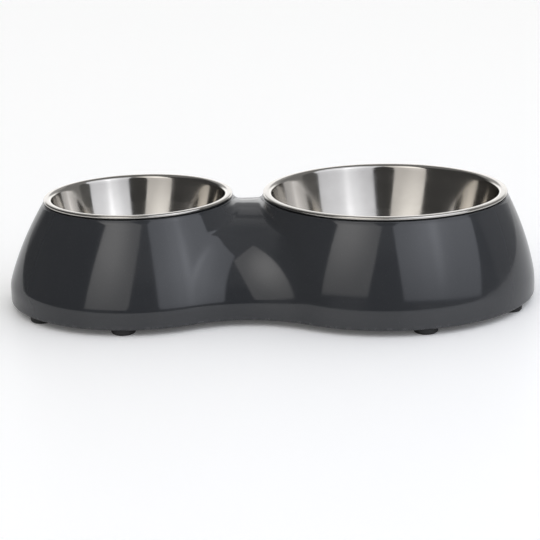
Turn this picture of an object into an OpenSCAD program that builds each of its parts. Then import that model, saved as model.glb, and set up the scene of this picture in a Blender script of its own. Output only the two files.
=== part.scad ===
/* [Bowls] */
// Outer diameter of the large bowl's rim
large_rim_d = 140; // [120:1:170]
// Outer diameter of the small bowl's rim
small_rim_d = 108.5; // [90:0.5:140]
// Inner depth of the large bowl
large_depth = 40; // [30:1:46]
// Inner depth of the small bowl
small_depth = 32; // [24:1:44]
// Width of the large bowl's rim, from its outer edge to the wall
large_rim_w = 5.2; // [4.6:0.1:8]
// Width of the small bowl's rim, from its outer edge to the wall
small_rim_w = 4.7; // [4.5:0.1:8]
// Thickness of the steel sheet
sheet = 0.6; // [0.4:0.1:0.9]
// Diameter of the rolled bead along both rims
bead_d = 1.8; // [1.3:0.1:2]
// Radius where the rim turns down into the wall
rim_round = 2.2; // [1.6:0.1:2.5]
// Radius between the wall and the floor of a bowl
floor_round = 9; // [5:0.5:12]
// Lean of a bowl's wall just under its rim
wall_lean_top = 11; // [4:1:14]
// Lean of a bowl's wall just above its floor
wall_lean_low = 20; // [16:1:28]

/* [Stand] */
// Height of both rims above the surface that the stand rests on
rim_h = 61.5; // [54:0.5:75]
// Clear distance between the two rims
rim_gap = 17.5; // [12:0.5:24]
// How far the base of the large lobe stands out past its rim
large_flare = 16.4; // [10:0.1:22]
// How far the base of the small lobe stands out past its rim
small_flare = 21.7; // [14:0.1:28]
// Thickness of the moulded wall
wall = 3; // [2:0.1:4]
// Height of the upright band along the bottom edge
band_h = 12; // [9:0.5:16]
// How softly the side rounds off into the band
band_soft = 0.8; // [0.3:0.1:1.2]
// How far the side starts inside the band
side_inset = 0.7; // [0:0.1:1.5]
// Bulge of the side between the band and the shoulder
side_bulge = 1.8; // [0:0.1:2.5]
// Rounding of the bottom edge
edge_round = 0.8; // [0.3:0.1:1.4]
// Rounding of the shoulder under each rim
shoulder_round = 0.8; // [0.3:0.1:1.4]
// Shadow gap between the shoulder and the rolled bead
lip_gap = 0.5; // [0.4:0.1:1.5]
// Height of the rims above the bridge between the lobes
bridge_drop = 6; // [5:0.1:12]
// Height over which the bridge rounds off to the front and the back
bridge_round = 9; // [4:0.5:12]
// How much of the bridge that rounding takes up, from its edge to its middle
crown_share = 0.9; // [0.2:0.05:0.95]
// Radius of the waist along the band, seen from above
waist_r = 63; // [40:1:80]
// Radius of the waist where it meets the bridge, seen from above
waist_top_r = 15; // [12:1:30]

/* [Feet] */
// Height of the gap under the stand that the feet leave
foot_drop = 3.5; // [2.5:0.1:5]
// Diameter of a rubber foot
foot_d = 13.5; // [11:0.5:15]
// Rounding of a foot's bottom edge
foot_round = 1.6; // [0.8:0.1:2.2]
// Distance from the stand's outer edge to the centre of a foot
foot_inset = 7.6; // [7.6:0.1:10]
// Diameter of the plug that holds a foot
plug_d = 6; // [4:0.2:7]
// Length of the plug
plug_l = 7; // [4:0.5:8]
// Diameter of the boss that takes the plug
boss_d = 11; // [9:0.5:13]
// Material above the plug in the boss
boss_cap = 2; // [1:0.5:3]
// Angle of the small lobe's outer feet from the long axis
small_outer_angle = 40; // [30:1:55]
// Angle of the small lobe's inner feet from the long axis
small_inner_angle = 86; // [75:1:92]
// Angle of the large lobe's outer feet from the long axis
large_outer_angle = 32; // [25:1:45]
// Angle of the large lobe's inner feet from the long axis
large_inner_angle = 78; // [70:1:92]

/* [Fits] */
// Running clearance between a bowl and its seat
bowl_gap = 0.3; // [0.2:0.05:0.5]
// Clearance around a foot's plug
plug_gap = 0.05; // [0.02:0.01:0.1]

/* [Hidden] */
$fn = 96;
// How far a cut runs past the face that it opens
overrun = 2;
// How deep the waist reaches into each lobe, so that the solids cross cleanly
waist_sink = 5;
// How far the waist overlaps the lobes instead of only touching them
waist_overlap = 0.2;
// Room above the plug in its hole
plug_room = 0.5;
// Steps along the curves of the profiles
side_steps = 9;
band_steps = 7;
round_steps = 4;
crown_steps = 8;
wall_steps = 8;
waist_steps = 16;

large_r = large_rim_d / 2;
small_r = small_rim_d / 2;
large_base_r = large_r + large_flare;
small_base_r = small_r + small_flare;
centre_gap = large_r + small_r + rim_gap;
small_x = -(centre_gap + large_base_r - small_base_r) / 2;
large_x = small_x + centre_gap;

shoulder_z = rim_h - bead_d - lip_gap;
seat_z = rim_h - sheet;
bridge_z = rim_h - bridge_drop;
band_z = foot_drop + band_h;
plug_hole_l = plug_l + plug_room;
boss_h = plug_hole_l + boss_cap;

shell_colour = [0.24, 0.25, 0.27];
steel_colour = [0.80, 0.80, 0.80];
rubber_colour = [0.10, 0.10, 0.10];

// An arc as points, from one angle to another
function arc(centre, r, from, to, steps) =
    [for (i = [0:steps]) let (a = from + (to - from) * i / steps) centre + r * [cos(a), sin(a)]];

// Outer radius of a lobe at a height: the side's curve, which rounds off into the upright band below
function side_r(z, base_r, rim_r) =
    let (
        t = (z - band_z) / (shoulder_z - band_z),
        start_r = base_r - side_inset,
        side = start_r + (rim_r - start_r) * t + 4 * side_bulge * t * (1 - t),
        share = min(1, max(0, 1 / 2 + (side - base_r) / (2 * band_soft)))
    )
    side + (base_r - side) * share - band_soft * share * (1 - share);

// Radius of the waist at a height. It closes in on the bridge
function waist_at(z) =
    let (t = max(0, z - band_z) / (bridge_z - band_z))
    waist_r + (waist_top_r - waist_r) * t * t;

// Heights at which the side is drawn, from above the rounding of the bottom edge to a top height
function side_levels(top) =
    let (low = foot_drop + 2 * edge_round)
    concat(
        [for (i = [0:band_steps]) low + (band_z - low) * i / band_steps],
        [for (i = [1:side_steps]) band_z + (top - band_z) * i / side_steps]
    );

// Where a bowl's flat rim ends and its rounding begins
function flat_r(rim_r, rim_w) = rim_r - rim_w + rim_round * cos(wall_lean_top);

// Plan of the waist at one height, as points around it: an arc at the front, its mirror image behind,
// and ends that lie inside the lobes. A share of the half width is pulled in where the bridge rounds off
function waist_loop(a, b, r, pull_share) =
    let (
        to_a = a + r - waist_overlap,
        to_b = b + r - waist_overlap,
        x = (to_a * to_a - to_b * to_b + centre_gap * centre_gap) / (2 * centre_gap),
        y = -sqrt(to_a * to_a - x * x),
        angle_a = atan2(-y, -x),
        angle_b = atan2(-y, centre_gap - x),
        pull = -(y + r) * pull_share,
        front = arc([x, y + pull], r, angle_a, angle_b, waist_steps),
        end_a = front[0] + waist_sink * [cos(angle_a), sin(angle_a)],
        end_b = front[waist_steps] + waist_sink * [cos(angle_b), sin(angle_b)],
        half = concat([end_a], front, [end_b])
    )
    concat(half, [for (i = [len(half) - 1:-1:0]) [half[i][0], -half[i][1]]]);

// The waist as one solid: loops from bottom to top, and flat ends made of strips from front to back
module waist_solid(levels, loops) {
    count = len(loops[0]);
    half = count / 2;
    last = (len(levels) - 1) * count;
    points = [for (k = [0:len(levels) - 1]) for (p = loops[k]) [p[0] + small_x, p[1], levels[k]]];
    sides = [
        for (k = [0:len(levels) - 2]) for (i = [0:count - 1])
            let (j = (i + 1) % count, low = k * count, high = low + count)
            each [[low + i, high + j, low + j], [low + i, high + i, high + j]]
    ];
    bottom = [
        for (i = [0:half - 2])
            each [[i, i + 1, count - 2 - i], [i, count - 2 - i, count - 1 - i]]
    ];
    top = [for (f = bottom) [last + f[0], last + f[2], last + f[1]]];
    polyhedron(points, concat(sides, bottom, top), convexity = 6);
}

// The waist between the lobes, set in from the outside by a thickness.
// Its bottom edge is a list of heights, each with how far it is set in there
module waist(inset, edge) {
    turn = bridge_z - bridge_round;
    rows = concat(
        [for (e = edge) [e[0], inset + e[1], 0]],
        [for (z = side_levels(turn)) [z, inset, 0]],
        [
            for (i = [1:crown_steps])
                let (a = 90 * i / crown_steps)
                [turn + (bridge_round - inset) * sin(a), inset, crown_share * (1 - cos(a))]
        ]
    );
    loops = [
        for (row = rows)
            waist_loop(
                side_r(row[0], small_base_r, small_r) - row[1],
                side_r(row[0], large_base_r, large_r) - row[1],
                waist_at(row[0]) + row[1], row[2]
            )
    ];
    waist_solid([for (row = rows) row[0]], loops);
}

// The rounding of the bottom edge, as points against an upright side
function edge_arc(side) =
    arc([side - edge_round, foot_drop + edge_round], edge_round, -90, 0, round_steps);

// One round lobe of the stand, solid, with the ring on which a bowl's rim sits
module lobe(base_r, rim_r) {
    top = shoulder_z - shoulder_round;
    ring_r = rim_r - bead_d - bowl_gap;
    rotate_extrude($fn = 160)
    polygon(concat(
        [[0, foot_drop]],
        edge_arc(base_r),
        [for (z = side_levels(top)) [side_r(z, base_r, rim_r), z]],
        arc([side_r(top, base_r, rim_r) - shoulder_round, top], shoulder_round, 0, 90, round_steps),
        [[ring_r, shoulder_z], [ring_r, seat_z], [0, seat_z]]
    ));
}

// The hollow of a lobe, open below, and the bore for its bowl
module lobe_hollow(base_r, rim_r, rim_w) {
    top = shoulder_z - wall;
    land = flat_r(rim_r, rim_w);
    edge = rim_round - sheet - bowl_gap;
    rotate_extrude($fn = 160)
    polygon(concat(
        [[0, foot_drop - overrun], [base_r - wall, foot_drop - overrun]],
        [for (z = side_levels(top)) [side_r(z, base_r, rim_r) - wall, z]],
        [[land - edge, top]],
        arc([land, rim_h - rim_round], edge, 180, 90, round_steps),
        [[land, seat_z + overrun], [0, seat_z + overrun]]
    ));
}

function foot_place(x, base_r, way, angle, side) =
    [x + way * (base_r - foot_inset) * cos(angle), side * (base_r - foot_inset) * sin(angle)];

foot_small_outer = foot_place(small_x, small_base_r, -1, small_outer_angle, -1);
foot_small_inner = foot_place(small_x, small_base_r, -1, small_inner_angle, -1);
foot_large_inner = foot_place(large_x, large_base_r, 1, large_inner_angle, -1);
foot_large_outer = foot_place(large_x, large_base_r, 1, large_outer_angle, -1);

module at_foot(place, side) {
    translate([place[0], -side * place[1], foot_drop]) children();
}

module at_each_foot() {
    for (place = [foot_small_outer, foot_small_inner, foot_large_inner, foot_large_outer])
        for (side = [-1, 1])
            at_foot(place, side) children();
}

// The moulded stand: two lobes joined by a waist, hollow and open below, with bosses for the feet
module stand_shell() {
    color(shell_colour)
    difference() {
        union() {
            difference() {
                union() {
                    translate([small_x, 0, 0]) lobe(small_base_r, small_r);
                    translate([large_x, 0, 0]) lobe(large_base_r, large_r);
                    waist(0, [for (p = edge_arc(0)) [p[1], -p[0]]]);
                }
                translate([small_x, 0, 0]) lobe_hollow(small_base_r, small_r, small_rim_w);
                translate([large_x, 0, 0]) lobe_hollow(large_base_r, large_r, large_rim_w);
                waist(wall, [[foot_drop - overrun, 0]]);
            }
            at_each_foot() cylinder(h = boss_h, d = boss_d);
        }
        at_each_foot() translate([0, 0, -overrun]) cylinder(h = plug_hole_l + overrun, d = plug_d + 2 * plug_gap);
    }
}

// A pressed steel bowl: a flat floor, a wall that leans out, and a flat rim that ends in a rolled bead
module bowl(rim_r, rim_w, depth) {
    flat = flat_r(rim_r, rim_w);
    turn_top = 90 - wall_lean_top;
    turn_low = 90 - wall_lean_low;
    wall_h = depth - rim_round * (1 - cos(turn_top)) - floor_round * (1 - cos(turn_low));
    wall_r = wall_h / (cos(turn_low) - cos(turn_top));
    wall_centre = [
        rim_r - rim_w - wall_r * sin(turn_top),
        rim_h - rim_round * (1 - cos(turn_top)) + wall_r * cos(turn_top)
    ];
    floor_centre = [
        wall_centre[0] + (wall_r - floor_round) * sin(turn_low),
        rim_h - depth + floor_round
    ];
    bead = bead_d / 2;
    inside = concat(
        [[0, rim_h - depth]],
        arc(floor_centre, floor_round, -90, turn_low - 90, wall_steps),
        arc(wall_centre, wall_r, turn_low - 90, turn_top - 90, wall_steps),
        arc([flat, rim_h - rim_round], rim_round, 90 + turn_top, 90, wall_steps)
    );
    outside = concat(
        arc([flat, rim_h - rim_round], rim_round - sheet, 90, 90 + turn_top, wall_steps),
        arc(wall_centre, wall_r + sheet, turn_top - 90, turn_low - 90, wall_steps),
        arc(floor_centre, floor_round + sheet, turn_low - 90, -90, wall_steps),
        [[0, rim_h - depth - sheet]]
    );
    color(steel_colour)
    rotate_extrude($fn = 160)
    polygon(concat(
        inside,
        arc([rim_r - bead, rim_h - bead], bead, 90, -180, 3 * round_steps),
        [[rim_r - bead_d, seat_z]],
        outside
    ));
}

module large_bowl() {
    translate([large_x, 0, 0]) bowl(large_r, large_rim_w, large_depth);
}

module small_bowl() {
    translate([small_x, 0, 0]) bowl(small_r, small_rim_w, small_depth);
}

// A rubber foot: a round pad under the stand and the plug that holds it
module foot() {
    pad_r = foot_d / 2;
    plug_r = plug_d / 2;
    color(rubber_colour)
    rotate_extrude($fn = 64)
    polygon(concat(
        [[0, -foot_drop]],
        arc([pad_r - foot_round, foot_round - foot_drop], foot_round, -90, 0, round_steps),
        [[pad_r, 0], [plug_r, 0], [plug_r, plug_l - plug_r / 2], [plug_r / 2, plug_l], [0, plug_l]]
    ));
}

module foot_small_outer_front() { at_foot(foot_small_outer, -1) foot(); }
module foot_small_outer_back() { at_foot(foot_small_outer, 1) foot(); }
module foot_small_inner_front() { at_foot(foot_small_inner, -1) foot(); }
module foot_small_inner_back() { at_foot(foot_small_inner, 1) foot(); }
module foot_large_inner_front() { at_foot(foot_large_inner, -1) foot(); }
module foot_large_inner_back() { at_foot(foot_large_inner, 1) foot(); }
module foot_large_outer_front() { at_foot(foot_large_outer, -1) foot(); }
module foot_large_outer_back() { at_foot(foot_large_outer, 1) foot(); }

stand_shell();
large_bowl();
small_bowl();
foot_small_outer_front();
foot_small_outer_back();
foot_small_inner_front();
foot_small_inner_back();
foot_large_inner_front();
foot_large_inner_back();
foot_large_outer_front();
foot_large_outer_back();
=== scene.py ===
"""Double pet bowl: a glossy stand in the shape of a figure eight, two steel bowls and eight rubber feet."""
import math

import bmesh
import bpy
import numpy as np
from mathutils import Matrix, Vector


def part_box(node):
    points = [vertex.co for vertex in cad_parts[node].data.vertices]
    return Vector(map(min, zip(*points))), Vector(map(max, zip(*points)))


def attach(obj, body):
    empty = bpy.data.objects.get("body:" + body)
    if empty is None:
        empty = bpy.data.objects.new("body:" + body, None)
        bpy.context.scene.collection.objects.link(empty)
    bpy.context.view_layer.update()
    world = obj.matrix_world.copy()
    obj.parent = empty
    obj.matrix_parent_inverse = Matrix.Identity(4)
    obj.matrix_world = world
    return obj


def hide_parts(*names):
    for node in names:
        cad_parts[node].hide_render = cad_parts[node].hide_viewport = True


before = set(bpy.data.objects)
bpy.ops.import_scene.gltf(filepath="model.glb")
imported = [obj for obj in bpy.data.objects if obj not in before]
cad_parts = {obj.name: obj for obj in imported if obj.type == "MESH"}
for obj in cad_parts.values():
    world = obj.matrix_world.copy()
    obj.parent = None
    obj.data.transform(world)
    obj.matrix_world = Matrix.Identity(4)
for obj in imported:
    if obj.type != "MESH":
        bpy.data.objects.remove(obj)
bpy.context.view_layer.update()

MM = 0.001

# Sizes that the frame gives


class Lobe:
    """One round half of the stand with its bowl, measured on the CAD nodes."""

    def __init__(self, bowl, base_x):
        low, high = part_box(bowl)
        self.x = (low[0] + high[0]) / 2
        self.rim_r = (high[0] - low[0]) / 2
        self.base_r = abs(base_x - self.x)
        self.bowl_low = low[2]


SHELL_LOW, SHELL_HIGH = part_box("stand_shell")
SMALL = Lobe("small_bowl", SHELL_LOW[0])
LARGE = Lobe("large_bowl", SHELL_HIGH[0])
SPAN = LARGE.x - SMALL.x
RIM_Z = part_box("large_bowl")[1][2]
FOOT_DROP = SHELL_LOW[2]
FEET = [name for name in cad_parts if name.startswith("foot_")]

# Sizes that part.scad and this script share

WALL = 3 * MM
BAND_Z = FOOT_DROP + 12 * MM
BAND_SOFT = 0.8 * MM
SIDE_INSET = 0.7 * MM
SIDE_BULGE = 1.8 * MM
EDGE_ROUND = 0.8 * MM
SHOULDER_ROUND = 0.8 * MM
BRIDGE_Z = RIM_Z - 6 * MM
BRIDGE_ROUND = 9 * MM
CROWN_SHARE = 0.9
WAIST_R = 63 * MM
WAIST_TOP_R = 15 * MM
BOWL_GAP = 0.3 * MM
SHEET = 0.6 * MM
BEAD_R = 0.9 * MM
LIP_GAP = 0.5 * MM
RIM_ROUND = 2.2 * MM
FLOOR_ROUND = 9 * MM
LEAN_TOP = 11
LEAN_LOW = 20
BOSS_R = 5.5 * MM
BOSS_H = 9.5 * MM
BOSS_CAP = 2 * MM
FOOT_ROUND = 1.6 * MM
PLUG_R = 3 * MM
PLUG_GAP = 0.05 * MM
LARGE.rim_w = 5.2 * MM
SMALL.rim_w = 4.7 * MM

SHOULDER_Z = RIM_Z - 2 * BEAD_R - LIP_GAP
SEAT_Z = RIM_Z - SHEET
TURN_Z = BRIDGE_Z - BRIDGE_ROUND

# Sizes that only this script has, and how finely it divides its meshes

BRIDGE_FILLET = 3.6 * MM
INSIDE_FILLET = 1.5 * MM
FILLET_RISE = 0.85
FILLET_RUN = 0.3
BOSS_EASE = 0.4 * MM
PAD_EASE = 0.3 * MM
DIMPLE_R = 3.2 * MM
DIMPLE_H = 0.5 * MM
WELD = 0.002 * MM
SHARP_ANGLE = 40
BOWL_STEPS = 320
BOWL_FLOOR_STEPS = 11
BOWL_CORNER_STEPS = 14
BOWL_WALL_STEPS = 18
RIM_STEPS = 10
BEAD_STEPS = 24
BOSS_STEPS = 48
FOOT_STEPS = 72
PAD_STEPS = 8
DIMPLE_STEPS = 4
EDGE_STEPS = 6
BAND_ROWS = 18
SIDE_ROWS = 22
ARC_SMALL = 200
ARC_LARGE = 240
ARC_WAIST = 44
FRONT_ROWS = 26
FLAT_ROWS = 10
WALL_STEPS = 8
FILLET_STEPS = 7
PANEL_STEPS = 16

# Curves and grids of points


def arc(centre, radius, start, end, steps):
    """Points on an arc, from one angle in degrees to another."""
    a = np.radians(np.linspace(start, end, steps + 1))
    return np.asarray(centre) + radius * np.stack([np.cos(a), np.sin(a)], axis=1)


def at_height(points, z):
    """Points with a height added to each."""
    return np.column_stack([points, np.full(len(points), z)])


def plan_middle(node):
    """Middle of a CAD node, seen from above."""
    low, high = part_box(node)
    return (low[0] + high[0]) / 2, (low[1] + high[1]) / 2


def grid_faces(rows, columns, closed, first=0):
    """Quads between neighbouring rows of a grid of points."""
    faces = []
    for i in range(rows - 1):
        for j in range(columns if closed else columns - 1):
            k = (j + 1) % columns
            low = first + i * columns
            high = low + columns
            faces.append((low + j, low + k, high + k, high + j))
    return faces


class Skin:
    """Collects grids of points whose edges coincide, and welds them into one mesh."""

    def __init__(self):
        self.points = []
        self.faces = []

    def add(self, grid, closed=False):
        """Takes a grid of points in. In a closed one, the last column meets the first."""
        rows, columns, _ = grid.shape
        self.faces += grid_faces(rows, columns, closed, len(self.points))
        self.points += grid.reshape(-1, 3).tolist()

    def build(self, name):
        """The object that all the grids make, smooth but for its sharp edges."""
        mesh = bpy.data.meshes.new(name)
        mesh.from_pydata(self.points, [], self.faces)
        bm = bmesh.new()
        bm.from_mesh(mesh)
        bmesh.ops.remove_doubles(bm, verts=bm.verts, dist=WELD)
        bmesh.ops.dissolve_degenerate(bm, edges=bm.edges, dist=WELD)
        bmesh.ops.recalc_face_normals(bm, faces=bm.faces)
        for face in bm.faces:
            face.smooth = True
        bm.to_mesh(mesh)
        bm.free()
        mesh.set_sharp_from_angle(angle=math.radians(SHARP_ANGLE))
        obj = bpy.data.objects.new(name, mesh)
        bpy.context.collection.objects.link(obj)
        return obj


def revolve(profile, steps, centre=(0, 0)):
    """A profile of (radius, height) points turned round an upright axis, as a closed grid."""
    a = np.linspace(0, 2 * math.pi, steps, endpoint=False)
    ring = np.stack([np.cos(a), np.sin(a)], axis=1)
    return np.array([at_height(np.asarray(centre) + r * ring, z) for r, z in profile])


# The stand's shape


def side_r(z, lobe):
    """Outer radius of a lobe at a height: the side's curve, which rounds off into the upright band below."""
    t = (z - BAND_Z) / (SHOULDER_Z - BAND_Z)
    start = lobe.base_r - SIDE_INSET
    side = start + (lobe.rim_r - start) * t + 4 * SIDE_BULGE * t * (1 - t)
    share = np.clip(0.5 + (side - lobe.base_r) / (2 * BAND_SOFT), 0, 1)
    return side + (lobe.base_r - side) * share - BAND_SOFT * share * (1 - share)


def waist_r(z):
    """Radius of the waist at a height. It closes in on the bridge."""
    t = max(z - BAND_Z, 0) / (BRIDGE_Z - BAND_Z)
    return WAIST_R + (WAIST_TOP_R - WAIST_R) * t * t


def waist_centre(z):
    """Centre of the front waist arc at a height, from the small lobe's axis. The arc touches both lobes."""
    to_small = side_r(z, SMALL) + waist_r(z)
    to_large = side_r(z, LARGE) + waist_r(z)
    x = (to_small**2 - to_large**2 + SPAN**2) / (2 * SPAN)
    return x, -math.sqrt(to_small**2 - x * x)


def outline(z, inset):
    """The stand's whole outline at a height below the bridge, set in by a distance."""
    x, y = waist_centre(z)
    small_tangent = math.degrees(math.atan2(-y, x))
    large_tangent = math.degrees(math.atan2(-y, SPAN - x))
    front = arc((x, y), waist_r(z) + inset, 180 - small_tangent, large_tangent, ARC_WAIST)
    back = front[::-1] * (1, -1)
    small = arc((0, 0), side_r(z, SMALL) - inset, small_tangent, 360 - small_tangent, ARC_SMALL)
    large = arc((SPAN, 0), side_r(z, LARGE) - inset, large_tangent - 180, 180 - large_tangent, ARC_LARGE)
    plan = np.concatenate([small[:-1], front[:-1], large[:-1], back[:-1]])
    return at_height(plan + (SMALL.x, 0), z)


def crossing(lobe_x, radius, centre, waist):
    """Where a lobe's circle meets the waist's, on the side of the bridge."""
    to = np.array([centre[0] - lobe_x, centre[1]])
    d = math.hypot(*to)
    along = (radius**2 - waist**2 + d * d) / (2 * d)
    off = math.sqrt(max(radius**2 - along**2, 0))
    unit = to / d
    across = np.array([-unit[1], unit[0]])
    hits = [np.array([lobe_x, 0]) + along * unit + way * off * across for way in (1, -1)]
    return max(hits, key=lambda p: p[1])


def section(z, inset, top, foot_small, foot_large, curve, leg):
    """One line over the bridge: down the small lobe's wall, over the bridge, and up the large lobe's wall.
    The leg is how far the fillet in each corner reaches, where the wall and the bridge leave it room."""
    length = np.hypot(*(foot_large - foot_small))
    rise = min(leg, FILLET_RISE * (top - z))
    run = min(leg, FILLET_RUN * length) / length
    sides = []
    for lobe, x, foot, s in ((SMALL, 0, foot_small, run), (LARGE, SPAN, foot_large, 1 - run)):
        away = foot - (x, 0)
        unit = away / np.hypot(*away)
        heights = np.linspace(top, z + rise, WALL_STEPS + 1)
        wall = np.array([(*((x, 0) + (side_r(h, lobe) - inset) * unit), h) for h in heights])
        corner = np.array([*foot, z])
        end = np.array([*curve(s), z])
        t = np.linspace(0, 1, FILLET_STEPS + 1)[1:, None]
        fillet = wall[-1] * (1 - t) ** 2 + corner * 2 * t * (1 - t) + end * t * t
        sides.append(np.concatenate([wall, fillet]))
    crown = np.array([(*curve(s), z) for s in np.linspace(run, 1 - run, ARC_WAIST + 1)[1:-1]])
    return np.concatenate([sides[0], crown, sides[1][::-1]]) + (SMALL.x, 0, 0)


def bridge_rows(inset, top, fillet):
    """The bridge and the lobes' walls beside it, as lines from the front to the back."""
    rows = []
    rise = BRIDGE_ROUND - inset
    for a in np.radians(np.linspace(0, 90, FRONT_ROWS + 1)):
        z = TURN_Z + rise * math.sin(a)
        x, y = waist_centre(z)
        waist = waist_r(z) + inset
        reach = -(y + waist) * CROWN_SHARE
        centre = np.array([x, y + reach * (1 - math.cos(a))])
        small_r = side_r(z, SMALL) - inset
        large_r = side_r(z, LARGE) - inset
        foot_small = crossing(0, small_r, centre, waist)
        foot_large = crossing(SPAN, large_r, centre, waist)
        start, end = (math.atan2(*(p - centre)[::-1]) for p in (foot_small, foot_large))

        def curve(s, centre=centre, start=start, end=end, waist=waist):
            turn = start + (end - start) * s
            return centre + waist * np.array([math.cos(turn), math.sin(turn)])

        flat = (centre - foot_small) / waist
        bridge_up = Vector((*(flat * rise * math.cos(a)), reach * math.sin(a))).normalized()
        lobe_out = Vector((*(foot_small / small_r), 0))
        leg = fillet * lobe_out.cross(bridge_up).length
        rows.append(section(z, inset, top, foot_small, foot_large, curve, leg))
    edge = (foot_small, foot_large, curve)
    middle = []
    for t in np.linspace(-1, 1, FLAT_ROWS + 1)[1:-1]:
        feet = []
        for x, foot in ((0, edge[0]), (SPAN, edge[1])):
            away = foot - (x, 0)
            radius = np.hypot(*away)
            turn = math.asin(away[1] / radius) * -t
            reach_x = math.copysign(radius * math.cos(turn), away[0])
            feet.append(np.array([x + reach_x, radius * math.sin(turn)]))

        def curve(s, t=t, feet=feet):
            x, y = edge[2](s)
            ends = [edge[2](0), edge[2](1)]
            shift = [feet[k] - ends[k] * (1, -t) for k in (0, 1)]
            return np.array([x, -t * y]) + shift[0] * (1 - s) + shift[1] * s

        middle.append(section(z, inset, top, feet[0], feet[1], curve, fillet))
    back = [row * (1, -1, 1) for row in rows[::-1]]
    return np.array(rows + middle + back)


def lobe_band(lobe, inset, top):
    """A lobe's wall above the height where the bridge rounds off, on the side away from the bridge."""
    x, y = waist_centre(TURN_Z)
    if lobe is SMALL:
        tangent = math.degrees(math.atan2(-y, x))
        start, end, steps = tangent, 360 - tangent, ARC_SMALL
    else:
        tangent = math.degrees(math.atan2(-y, SPAN - x))
        start, end, steps = tangent - 180, 180 - tangent, ARC_LARGE
    heights = np.linspace(TURN_Z, top, WALL_STEPS + 1)
    centre = (lobe.x, 0)
    return np.array([at_height(arc(centre, side_r(z, lobe) - inset, start, end, steps), z) for z in heights])


def skin_side(inset, top, fillet, low):
    """One side of the stand's wall as grids, and the closed ring of points that each lobe ends in."""
    levels = np.concatenate([np.linspace(low, BAND_Z, BAND_ROWS), np.linspace(BAND_Z, TURN_Z, SIDE_ROWS)[1:]])
    body = np.array([outline(z, inset) for z in levels])
    rows = bridge_rows(inset, top, fillet)
    bands = [lobe_band(lobe, inset, top) for lobe in (SMALL, LARGE)]
    rings = [
        np.concatenate([bands[0][-1][:-1], rows[:-1, 0]]),
        np.concatenate([bands[1][-1][:-1], rows[::-1][:-1, -1]]),
    ]
    return body, rows, bands, rings


def ring_turns(ring, lobe):
    """Directions from a lobe's axis to the points of a ring."""
    away = ring[:, :2] - (lobe.x, 0)
    return away / np.hypot(away[:, 0], away[:, 1])[:, None]


def rim_land(lobe):
    """Radius at which a bowl's flat rim starts to turn down into the bowl."""
    return lobe.rim_r - lobe.rim_w + RIM_ROUND * math.cos(math.radians(LEAN_TOP))


def boss_profile():
    """The section of a boss: the hole for the foot's plug, then the boss round and over it."""
    hole = PLUG_R + PLUG_GAP
    hole_z = FOOT_DROP + BOSS_H - BOSS_CAP
    return [
        (0, hole_z),
        (hole, hole_z),
        (hole, FOOT_DROP + BOSS_EASE),
        (hole + BOSS_EASE, FOOT_DROP),
        (BOSS_R - BOSS_EASE, FOOT_DROP),
        (BOSS_R, FOOT_DROP + BOSS_EASE),
        (BOSS_R, FOOT_DROP + BOSS_H - BOSS_EASE),
        (BOSS_R - BOSS_EASE, FOOT_DROP + BOSS_H),
        (0, FOOT_DROP + BOSS_H),
    ]


def make_shell():
    """The stand: its outer and inner skin, the bottom edge, the two rims and the bosses over the feet."""
    skin = Skin()
    top = SHOULDER_Z - SHOULDER_ROUND
    roof = SHOULDER_Z - WALL
    outer = skin_side(0, top, BRIDGE_FILLET, FOOT_DROP + EDGE_ROUND)
    inner = skin_side(WALL, roof, INSIDE_FILLET, FOOT_DROP)
    for body, rows, bands, _ in (outer, inner):
        skin.add(body, closed=True)
        skin.add(rows)
        for band in bands:
            skin.add(band)
    rounding = arc((-EDGE_ROUND, FOOT_DROP + EDGE_ROUND), EDGE_ROUND, -90, 0, EDGE_STEPS)
    skin.add(np.array([outline(z, -x) for x, z in rounding]), closed=True)
    bottom = outline(FOOT_DROP, EDGE_ROUND)
    skin.add(np.array([bottom, outline(FOOT_DROP, WALL)]), closed=True)
    for k, lobe in enumerate((SMALL, LARGE)):
        land = rim_land(lobe)
        edge = RIM_ROUND - SHEET - BOWL_GAP
        ring_r = lobe.rim_r - 2 * BEAD_R - BOWL_GAP
        shoulder = arc((side_r(top, lobe) - SHOULDER_ROUND, top), SHOULDER_ROUND, 0, 90, EDGE_STEPS)
        bore = arc((land, RIM_Z - RIM_ROUND), edge, 90, 180, EDGE_STEPS)
        outside = np.concatenate([shoulder, [(ring_r, SHOULDER_Z), (ring_r, SEAT_Z)]])
        ceiling = [(land - edge, roof), (side_r(roof, lobe) - WALL, roof)]
        inside = np.concatenate([[(land, SEAT_Z)], bore, ceiling])
        grid = []
        for part, side in ((outside, outer), (inside, inner)):
            turns = ring_turns(side[3][k], lobe)
            grid += [at_height(r * turns + (lobe.x, 0), z) for r, z in part]
        skin.add(np.array(grid), closed=True)
    for foot in FEET:
        skin.add(revolve(boss_profile(), BOSS_STEPS, plan_middle(foot)), closed=True)
    shell = skin.build("stand_shell_moulding")
    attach(shell, "stand")
    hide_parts("stand_shell")
    return shell


# The bowls


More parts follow.
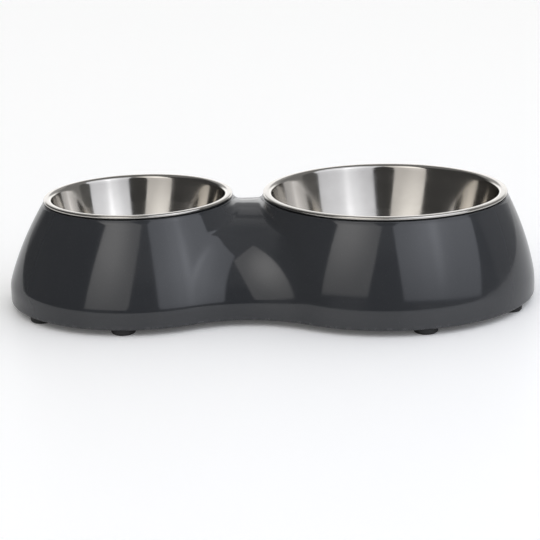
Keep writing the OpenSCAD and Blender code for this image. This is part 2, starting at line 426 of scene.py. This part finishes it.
def bowl_profile(lobe):
    """The pressed bowl's section: inside from the floor's middle to the rim, the bead, and back outside."""
    depth = RIM_Z - lobe.bowl_low - SHEET
    land = rim_land(lobe)
    turn_top, turn_low = 90 - LEAN_TOP, 90 - LEAN_LOW
    cos_top, cos_low = math.cos(math.radians(turn_top)), math.cos(math.radians(turn_low))
    sin_top, sin_low = math.sin(math.radians(turn_top)), math.sin(math.radians(turn_low))
    wall_h = depth - RIM_ROUND * (1 - cos_top) - FLOOR_ROUND * (1 - cos_low)
    wall_r = wall_h / (cos_low - cos_top)
    wall_x = lobe.rim_r - lobe.rim_w - wall_r * sin_top
    wall_z = RIM_Z - RIM_ROUND * (1 - cos_top) + wall_r * cos_top
    floor_x = wall_x + (wall_r - FLOOR_ROUND) * sin_low
    floor_z = RIM_Z - depth
    floor_run = np.linspace(0, 1, BOWL_FLOOR_STEPS + 1)[:-1, None]
    rim_centre = (land, RIM_Z - RIM_ROUND)
    wall_centre = (wall_x, wall_z)
    corner_centre = (floor_x, floor_z + FLOOR_ROUND)
    inside = np.concatenate([
        at_height(floor_run * floor_x, floor_z),
        arc(corner_centre, FLOOR_ROUND, -90, turn_low - 90, BOWL_CORNER_STEPS),
        arc(wall_centre, wall_r, turn_low - 90, turn_top - 90, BOWL_WALL_STEPS)[1:],
        arc(rim_centre, RIM_ROUND, 90 + turn_top, 90, RIM_STEPS)[1:],
    ])
    bead = arc((lobe.rim_r - BEAD_R, RIM_Z - BEAD_R), BEAD_R, 90, -180, BEAD_STEPS)
    outside = np.concatenate([
        [(lobe.rim_r - 2 * BEAD_R, SEAT_Z)],
        arc(rim_centre, RIM_ROUND - SHEET, 90, 90 + turn_top, RIM_STEPS),
        arc(wall_centre, wall_r + SHEET, turn_top - 90, turn_low - 90, BOWL_WALL_STEPS)[1:],
        arc(corner_centre, FLOOR_ROUND + SHEET, turn_low - 90, -90, BOWL_CORNER_STEPS)[1:],
        at_height((1 - floor_run[1:]) * floor_x, floor_z - SHEET),
        [(0, floor_z - SHEET)],
    ])
    return np.concatenate([inside, bead, outside])


def make_bowl(name, lobe):
    """A pressed bowl, turned round its own axis so that its marks of spinning run round it."""
    skin = Skin()
    skin.add(revolve(bowl_profile(lobe), BOWL_STEPS), closed=True)
    bowl = skin.build(name + "_pressing")
    bowl.location = (lobe.x, 0, 0)
    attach(bowl, name)
    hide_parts(name)
    return bowl


# The feet


def make_foot(name):
    """A rubber foot: a round pad with a dimple below, and the plug that holds it in its boss."""
    low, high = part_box(name)
    pad_r = (high[0] - low[0]) / 2
    dimple_flat = DIMPLE_R - 2 * DIMPLE_H
    skin = Skin()
    profile = np.concatenate([
        [(0, DIMPLE_H), (dimple_flat, DIMPLE_H)],
        arc((dimple_flat, 0), DIMPLE_H, 90, 0, DIMPLE_STEPS)[1:],
        [(DIMPLE_R, 0)],
        arc((pad_r - FOOT_ROUND, FOOT_ROUND), FOOT_ROUND, -90, 0, PAD_STEPS),
        [(pad_r, FOOT_DROP - PAD_EASE), (pad_r - PAD_EASE, FOOT_DROP), (PLUG_R, FOOT_DROP)],
        [(PLUG_R, high[2] - PLUG_R / 2), (PLUG_R / 2, high[2]), (0, high[2])],
    ])
    skin.add(revolve(profile, FOOT_STEPS), closed=True)
    foot = skin.build(name + "_rubber")
    foot.location = (*plan_middle(name), 0)
    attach(foot, "stand")
    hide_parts(name)
    return foot


# Materials

# The colour sockets of a mix node, which share their names with its other sockets
MIX_FIRST = 6
MIX_SECOND = 7
MIX_RESULT = 2


class Finish:
    """The node tree of a material or of the world, with short calls to add nodes to it."""

    def __init__(self, owner):
        owner.use_nodes = True
        self.owner = owner
        self.tree = owner.node_tree
        self.tree.nodes.clear()
        places = self.add("ShaderNodeTexCoord")
        self.object = places.outputs["Object"]
        self.generated = places.outputs["Generated"]

    def add(self, kind, inputs=None, **settings):
        """A new node with its settings, and a value or a link for each input that is named."""
        node = self.tree.nodes.new(kind)
        for name, value in settings.items():
            setattr(node, name, value)
        for name, value in (inputs or {}).items():
            self.put(node.inputs[name], value)
        return node

    def put(self, socket, value):
        """Links a socket to another one, or gives it a constant."""
        if isinstance(value, bpy.types.NodeSocket):
            self.tree.links.new(value, socket)
        else:
            socket.default_value = value

    def principled(self, **values):
        """The surface itself, lit like any real one."""
        inputs = {name.replace("_", " "): value for name, value in values.items()}
        shader = self.add("ShaderNodeBsdfPrincipled", inputs)
        self.put(self.add("ShaderNodeOutputMaterial").inputs["Surface"], shader.outputs[0])
        return self.owner

    def sees(self, *kinds):
        """One where the ray that meets the surface is of one of these kinds."""
        path = self.add("ShaderNodeLightPath")
        total = path.outputs[kinds[0]]
        for kind in kinds[1:]:
            total = self.math("MAXIMUM", total, path.outputs[kind])
        return total

    def choose(self, share, first, second):
        """Between two values: the first at a share of zero, the second at a share of one."""
        return self.add("ShaderNodeMix", {"Factor": share, "A": first, "B": second}).outputs["Result"]

    def noise(self, scale, detail=3, roughness=0.5, where=None, dims="3D"):
        """Noise over the object, or along one measure of it."""
        inputs = {"Scale": scale, "Detail": detail, "Roughness": roughness}
        if dims == "1D":
            inputs["W"] = where
        else:
            inputs["Vector"] = where or self.object
        return self.add("ShaderNodeTexNoise", noise_dimensions=dims, inputs=inputs).outputs["Fac"]

    def fit(self, value, low, high, to_low, to_high, soft=False):
        """A value moved from one range to another, and held at the ends of it."""
        node = self.add(
            "ShaderNodeMapRange",
            {"Value": value, "From Min": low, "From Max": high, "To Min": to_low, "To Max": to_high},
        )
        if soft:
            node.interpolation_type = "SMOOTHSTEP"
        return node.outputs["Result"]

    def line(self, value, *stops):
        """A height that follows stops of (place, height), smooth between them and level outside them."""
        height = stops[0][1]
        for (start, low), (end, high) in zip(stops, stops[1:]):
            height = self.math("ADD", height, self.fit(value, start, end, 0, high - low, soft=True))
        return height

    def math(self, operation, *values):
        node = self.add("ShaderNodeMath", operation=operation)
        for socket, value in zip(node.inputs, values):
            self.put(socket, value)
        return node.outputs[0]

    def stretch(self, scale):
        """Places on the object, stretched by a scale along each axis."""
        return self.add("ShaderNodeMapping", {"Vector": self.object, "Scale": scale}).outputs["Vector"]

    def mix(self, factor, first, second):
        """Between two colours: the first at a factor of zero, the second at a factor of one."""
        node = self.add("ShaderNodeMix", data_type="RGBA")
        self.put(node.inputs["Factor"], factor)
        self.put(node.inputs[MIX_FIRST], (*first, 1) if isinstance(first, tuple) else first)
        self.put(node.inputs[MIX_SECOND], (*second, 1) if isinstance(second, tuple) else second)
        return node.outputs[MIX_RESULT]

    def bump(self, height, distance, strength=1.0, before=None):
        """Fine relief on a surface, over an earlier one where there is one."""
        inputs = {"Height": height, "Distance": distance, "Strength": strength}
        if before:
            inputs["Normal"] = before
        return self.add("ShaderNodeBump", inputs).outputs["Normal"]


def melamine():
    """Glossy charcoal moulding: flow in the colour, wiping marks in the gloss, and a painted highlight along
    the bottom edge, broken up by noise, where the gloss is also rougher.
    """
    f = Finish(bpy.data.materials.new("charcoal_melamine"))
    flow = f.noise(14, detail=4, roughness=0.6, where=f.stretch((1, 1, 0.5)))
    fleck = f.noise(1500, detail=1)
    colour = f.mix(f.fit(flow, 0.35, 0.65, 0, 1), (0.031, 0.033, 0.037), (0.037, 0.039, 0.043))
    colour = f.mix(f.fit(fleck, 0.66, 0.74, 0, 0.35), colour, (0.060, 0.061, 0.064))
    height = f.add("ShaderNodeSeparateXYZ", {"Vector": f.object}).outputs["Z"]
    low_down = f.fit(height, FOOT_DROP + 0.4 * MM, FOOT_DROP + 3 * MM, 1, 0, soft=True)
    # Painted highlight: the lowest few millimetres above the bottom edge are mixed, in noisy patches, towards
    # a lighter grey that stands in for the rounded bottom edge's highlight. The same band also gets a rougher
    # gloss.
    edge_highlight_band = f.math("MULTIPLY", low_down, f.fit(f.noise(220, detail=5, roughness=0.7), 0.45, 0.62, 0, 1))
    colour = f.mix(f.math("MULTIPLY", edge_highlight_band, 0.35), colour, (0.10, 0.10, 0.105))
    wiped = f.fit(f.noise(22, detail=5, roughness=0.65), 0.40, 0.70, 0.07, 0.12)
    hairs = f.noise(90, detail=6, roughness=0.8, where=f.stretch((1, 0.15, 6)))
    gloss = f.math("ADD", wiped, f.fit(hairs, 0.60, 0.72, 0, 0.05))
    gloss = f.math("ADD", gloss, f.math("MULTIPLY", edge_highlight_band, 0.30))
    waves = f.bump(f.noise(16, detail=1), 0.10 * MM, 0.5)
    grain = f.bump(f.noise(700, detail=2), 0.002 * MM, 0.5, before=waves)
    return f.principled(Base_Color=colour, Roughness=gloss, IOR=1.60, Normal=grain)


def steel():
    """Polished stainless steel: fine marks of spinning, faint smears and a few hairline scratches."""
    f = Finish(bpy.data.materials.new("polished_steel"))
    parts = f.add("ShaderNodeSeparateXYZ", {"Vector": f.object})
    x, y, z = (parts.outputs[name] for name in "XYZ")
    radius = f.math("SQRT", f.math("ADD", f.math("MULTIPLY", x, x), f.math("MULTIPLY", y, y)))
    along = f.math("SUBTRACT", radius, z)
    spun = f.noise(2600, detail=4, roughness=0.7, where=along, dims="1D")
    bands = f.noise(160, detail=3, where=along, dims="1D")
    smear = f.noise(28, detail=5, roughness=0.6)
    hair = f.noise(240, detail=7, roughness=0.85, where=f.stretch((1, 0.12, 1)))
    tone = f.mix(f.fit(smear, 0.35, 0.7, 0, 1), (0.64, 0.615, 0.575), (0.58, 0.557, 0.52))
    tone = f.mix(f.fit(spun, 0.62, 0.78, 0, 0.25), tone, (0.50, 0.48, 0.45))
    gloss = f.fit(bands, 0.3, 0.7, 0.06, 0.11)
    gloss = f.math("ADD", gloss, f.fit(spun, 0.45, 0.75, 0, 0.05))
    gloss = f.math("ADD", gloss, f.fit(smear, 0.5, 0.75, 0, 0.05))
    gloss = f.math("ADD", gloss, f.fit(hair, 0.64, 0.72, 0, 0.08))
    rings = f.bump(spun, 0.004 * MM, 0.6)
    waves = f.bump(f.noise(45, detail=1), 0.05 * MM, 0.5, before=rings)
    return f.principled(Base_Color=tone, Roughness=gloss, Metallic=1.0, Normal=waves)


def rubber():
    """Matt black rubber: a dusty bloom, a fine moulded grain and a grubby underside."""
    f = Finish(bpy.data.materials.new("black_rubber"))
    dust = f.fit(f.noise(260, detail=5, roughness=0.7), 0.42, 0.70, 0, 1)
    height = f.add("ShaderNodeSeparateXYZ", {"Vector": f.object}).outputs["Z"]
    under = f.fit(height, 0, 0.8 * MM, 0.45, 0.10, soft=True)
    colour = f.mix(f.math("MULTIPLY", dust, under), (0.018, 0.018, 0.018), (0.09, 0.087, 0.08))
    grain = f.bump(f.noise(1800, detail=3), 0.03 * MM, 0.5)
    return f.principled(Base_Color=colour, Roughness=f.fit(dust, 0, 1, 0.55, 0.80), Normal=grain)


# Camera, light and stage

EYE = (5.20 * MM, -824.3 * MM, 250.9 * MM)
PITCH_DOWN = 16.03
YAW_LEFT = 0.45
ROLL = -1.36
LENS = 97.84
SENSOR = 36
FLOOR_REACH = 6
FLOOR_LIFT = 0.075
ROOM_LIGHT = 1.34
WORLD_LEVEL = 0.8

# The corners of each panel: inner bottom, outer bottom, outer top, inner top
PANEL_LEFT = ((-0.260, -1.12, 0.19), (-0.68, -0.60, 0.115), (-0.27, -0.33, 1.29), (0.115, -0.88, 1.25))
PANEL_RIGHT = ((0.200, -0.867, 0.12), (1.0, -0.35, 0.02), (0.556, 0.245, 0.97), (0.02, -0.42, 0.715))

# What gloss sees, as stops of (degrees, level). Lift is above the horizon, and turn is round from the front,
# with the right positive
BACKDROP_BY_LIFT = ((13.6, 1.65), (15.6, 0.64), (24, 0.48), (29, 0.46), (31.5, 0.60), (34, 0.47), (37, 0.40))
SHADE_BY_LIFT = ((37, 0), (38.5, -0.24), (40, -0.24), (42, -0.04), (48, -0.13), (56, -0.19))
BACKDROP_BY_TURN = ((-155, 1), (-138, 0.12), (-132, 0), (130, 0), (138, 0.12), (155, 1))
ROOM_BY_TURN = ((-50, 0.07), (-40, 0.20), (50, 0.20), (70, 0.14), (89, 0.14), (94, 0.28), (130, 0.30))
GAP_BY_TURN = ((-26, 0), (-13, 1), (13, 1), (26, 0))
GAP_BY_LIFT = ((24, 0.13), (34, 0))
CEILING_BY_LIFT = ((40, 0), (60, 1))
CEILING = 0.27


def make_camera():
    """The camera, at the place and angle that fit both rims and the outline in the photo."""
    camera = bpy.data.objects.new("camera", bpy.data.cameras.new("camera"))
    turn = Matrix.Rotation(math.radians(YAW_LEFT), 4, "Z")
    tip = Matrix.Rotation(math.radians(90 - PITCH_DOWN), 4, "X")
    roll = Matrix.Rotation(math.radians(ROLL), 4, "Z")
    camera.matrix_world = Matrix.Translation(EYE) @ turn @ tip @ roll
    camera.data.lens = LENS
    camera.data.sensor_width = SENSOR
    camera.data.clip_start = 10 * MM
    camera.data.clip_end = 50
    bpy.context.collection.objects.link(camera)
    bpy.context.scene.camera = camera


def make_floor():
    """A wide pale floor. The camera sees it whiter than other rays do, and it keeps the object's shadow."""
    mesh = bpy.data.meshes.new("floor")
    corners = [(x * FLOOR_REACH, y * FLOOR_REACH, 0) for x, y in ((-1, -1), (1, -1), (1, 1), (-1, 1))]
    mesh.from_pydata(corners, [], [(0, 1, 2, 3)])
    floor = bpy.data.objects.new("floor", mesh)
    bpy.context.collection.objects.link(floor)
    f = Finish(bpy.data.materials.new("floor_paper"))
    seen = f.sees("Is Camera Ray")
    paper = f.mix(f.noise(3), (0.82, 0.82, 0.82), (0.81, 0.81, 0.81))
    mesh.materials.append(f.principled(
        Base_Color=f.mix(seen, paper, (1.0, 1.0, 1.0)),
        Roughness=0.45,
        Emission_Color=(1, 1, 1, 1),
        Emission_Strength=f.math("MULTIPLY", seen, FLOOR_LIFT),
    ))


def make_world():
    """White for the camera, and for matt surfaces a soft light that is strongest high up and from the right.
    Gloss sees a studio: a backdrop behind the object, white low down and dim above, and a dim room round the
    rest, darker between the panels and brighter to the right."""
    world = bpy.data.worlds.new("studio")
    bpy.context.scene.world = world
    f = Finish(world)
    way = f.add("ShaderNodeSeparateXYZ", {"Vector": f.generated})
    turn = f.math("DEGREES", f.math("ARCTAN2", way.outputs["X"], f.math("MULTIPLY", way.outputs["Y"], -1.0)))
    lift = f.math("DEGREES", f.math("ARCSINE", way.outputs["Z"]))
    backdrop = f.math("ADD", f.line(lift, *BACKDROP_BY_LIFT), f.line(lift, *SHADE_BY_LIFT))
    gap = f.math("MULTIPLY", f.line(turn, *GAP_BY_TURN), f.line(lift, *GAP_BY_LIFT))
    room = f.math("SUBTRACT", f.line(turn, *ROOM_BY_TURN), gap)
    room = f.choose(f.line(lift, *CEILING_BY_LIFT), room, CEILING)
    gloss = f.choose(f.line(turn, *BACKDROP_BY_TURN), room, backdrop)
    soft = f.math("MULTIPLY", f.line(lift, (0, 0.2), (40, 1)), f.fit(way.outputs["X"], -1, 1, 0.5, 1.5))
    soft = f.math("MULTIPLY", soft, ROOM_LIGHT)
    plain = f.choose(f.sees("Is Glossy Ray", "Is Transmission Ray"), soft, gloss)
    plain = f.math("MULTIPLY", plain, WORLD_LEVEL)
    strength = f.choose(f.sees("Is Camera Ray"), plain, 1.0)
    background = f.add("ShaderNodeBackground", {"Color": (1, 1, 1, 1), "Strength": strength})
    f.put(f.add("ShaderNodeOutputWorld").inputs["Surface"], background.outputs[0])


def make_panel(name, corners, tone, glow):
    """A soft light, stretched between its four corners. Its glow depends on how far across and how far up a
    place is."""
    steps = PANEL_STEPS
    low_in, low_out, high_out, high_in = (np.array(corner) for corner in corners)
    grid = []
    for v in np.linspace(0, 1, steps + 1):
        for u in np.linspace(0, 1, steps + 1):
            grid.append((low_in * (1 - u) + low_out * u) * (1 - v) + (high_in * (1 - u) + high_out * u) * v)
    mesh = bpy.data.meshes.new(name)
    mesh.from_pydata(grid, [], grid_faces(steps + 1, steps + 1, False))
    layer = mesh.uv_layers.new(name="across")
    for loop in mesh.loops:
        row, column = divmod(loop.vertex_index, steps + 1)
        layer.data[loop.index].uv = (column / steps, row / steps)
    panel = bpy.data.objects.new(name, mesh)
    bpy.context.collection.objects.link(panel)
    panel.visible_camera = False
    f = Finish(bpy.data.materials.new(name))
    place = f.add("ShaderNodeSeparateXYZ", {"Vector": f.add("ShaderNodeUVMap", uv_map="across").outputs[0]})
    u, v = place.outputs["X"], place.outputs["Y"]
    strength = glow(f, u, v)
    for share in (u, v):
        edge = f.math("MINIMUM", share, f.math("SUBTRACT", 1.0, share))
        strength = f.math("MULTIPLY", strength, f.fit(edge, 0, 0.03, 0, 1, soft=True))
    emission = f.add("ShaderNodeEmission", {"Color": (*tone, 1), "Strength": strength})
    f.put(f.add("ShaderNodeOutputMaterial").inputs["Surface"], emission.outputs[0])
    mesh.materials.append(f.owner)


def spot(f, u, v, at, reach, strength):
    """A soft spot of light in a panel: its strength in the middle, and zero at its reach across and up."""
    across = f.math("DIVIDE", f.math("SUBTRACT", u, at[0]), reach[0])
    up = f.math("DIVIDE", f.math("SUBTRACT", v, at[1]), reach[1])
    away = f.math("SQRT", f.math("ADD", f.math("MULTIPLY", across, across), f.math("MULTIPLY", up, up)))
    return f.fit(away, 0, 1, strength, 0, soft=True)


def left_glow(f, u, v):
    """Brightest towards its outer side, and weaker at its bottom edge."""
    whole = f.math("ADD", 0.88, spot(f, u, v, (0.76, 0.46), (0.70, 0.50), 0.98))
    return f.math("MULTIPLY", whole, f.fit(v, 0, 0.35, 0.72, 1))


def right_glow(f, u, v):
    """Brightest in a narrow stripe near its middle, and weaker at its bottom and inner edges."""
    whole = f.math("ADD", 1.02, spot(f, u, v, (0.42, 0.42), (0.90, 0.70), 0.28))
    whole = f.math("ADD", whole, spot(f, u, v, (0.40, 0.42), (0.28, 0.55), 0.38))
    whole = f.math("ADD", whole, spot(f, u, v, (0.44, 0.40), (0.09, 0.45), 0.48))
    whole = f.math("MULTIPLY", whole, f.fit(u, 0, 0.3, 0.86, 1))
    return f.math("MULTIPLY", whole, f.fit(v, -0.05, 0.4, 0.62, 1))


# The scene

make_camera()
shell = make_shell()
bowls = [make_bowl("large_bowl", LARGE), make_bowl("small_bowl", SMALL)]
feet = [make_foot(name) for name in FEET]
for pieces, finish in (([shell], melamine()), (bowls, steel()), (feet, rubber())):
    for piece in pieces:
        piece.data.materials.append(finish)

make_floor()
make_world()
make_panel("panel_left", PANEL_LEFT, (1.0, 0.98, 0.96), left_glow)
make_panel("panel_right", PANEL_RIGHT, (0.94, 0.97, 1.05), right_glow)

bpy.context.scene.view_settings.view_transform = "Standard"

bpy.context.view_layer.update()
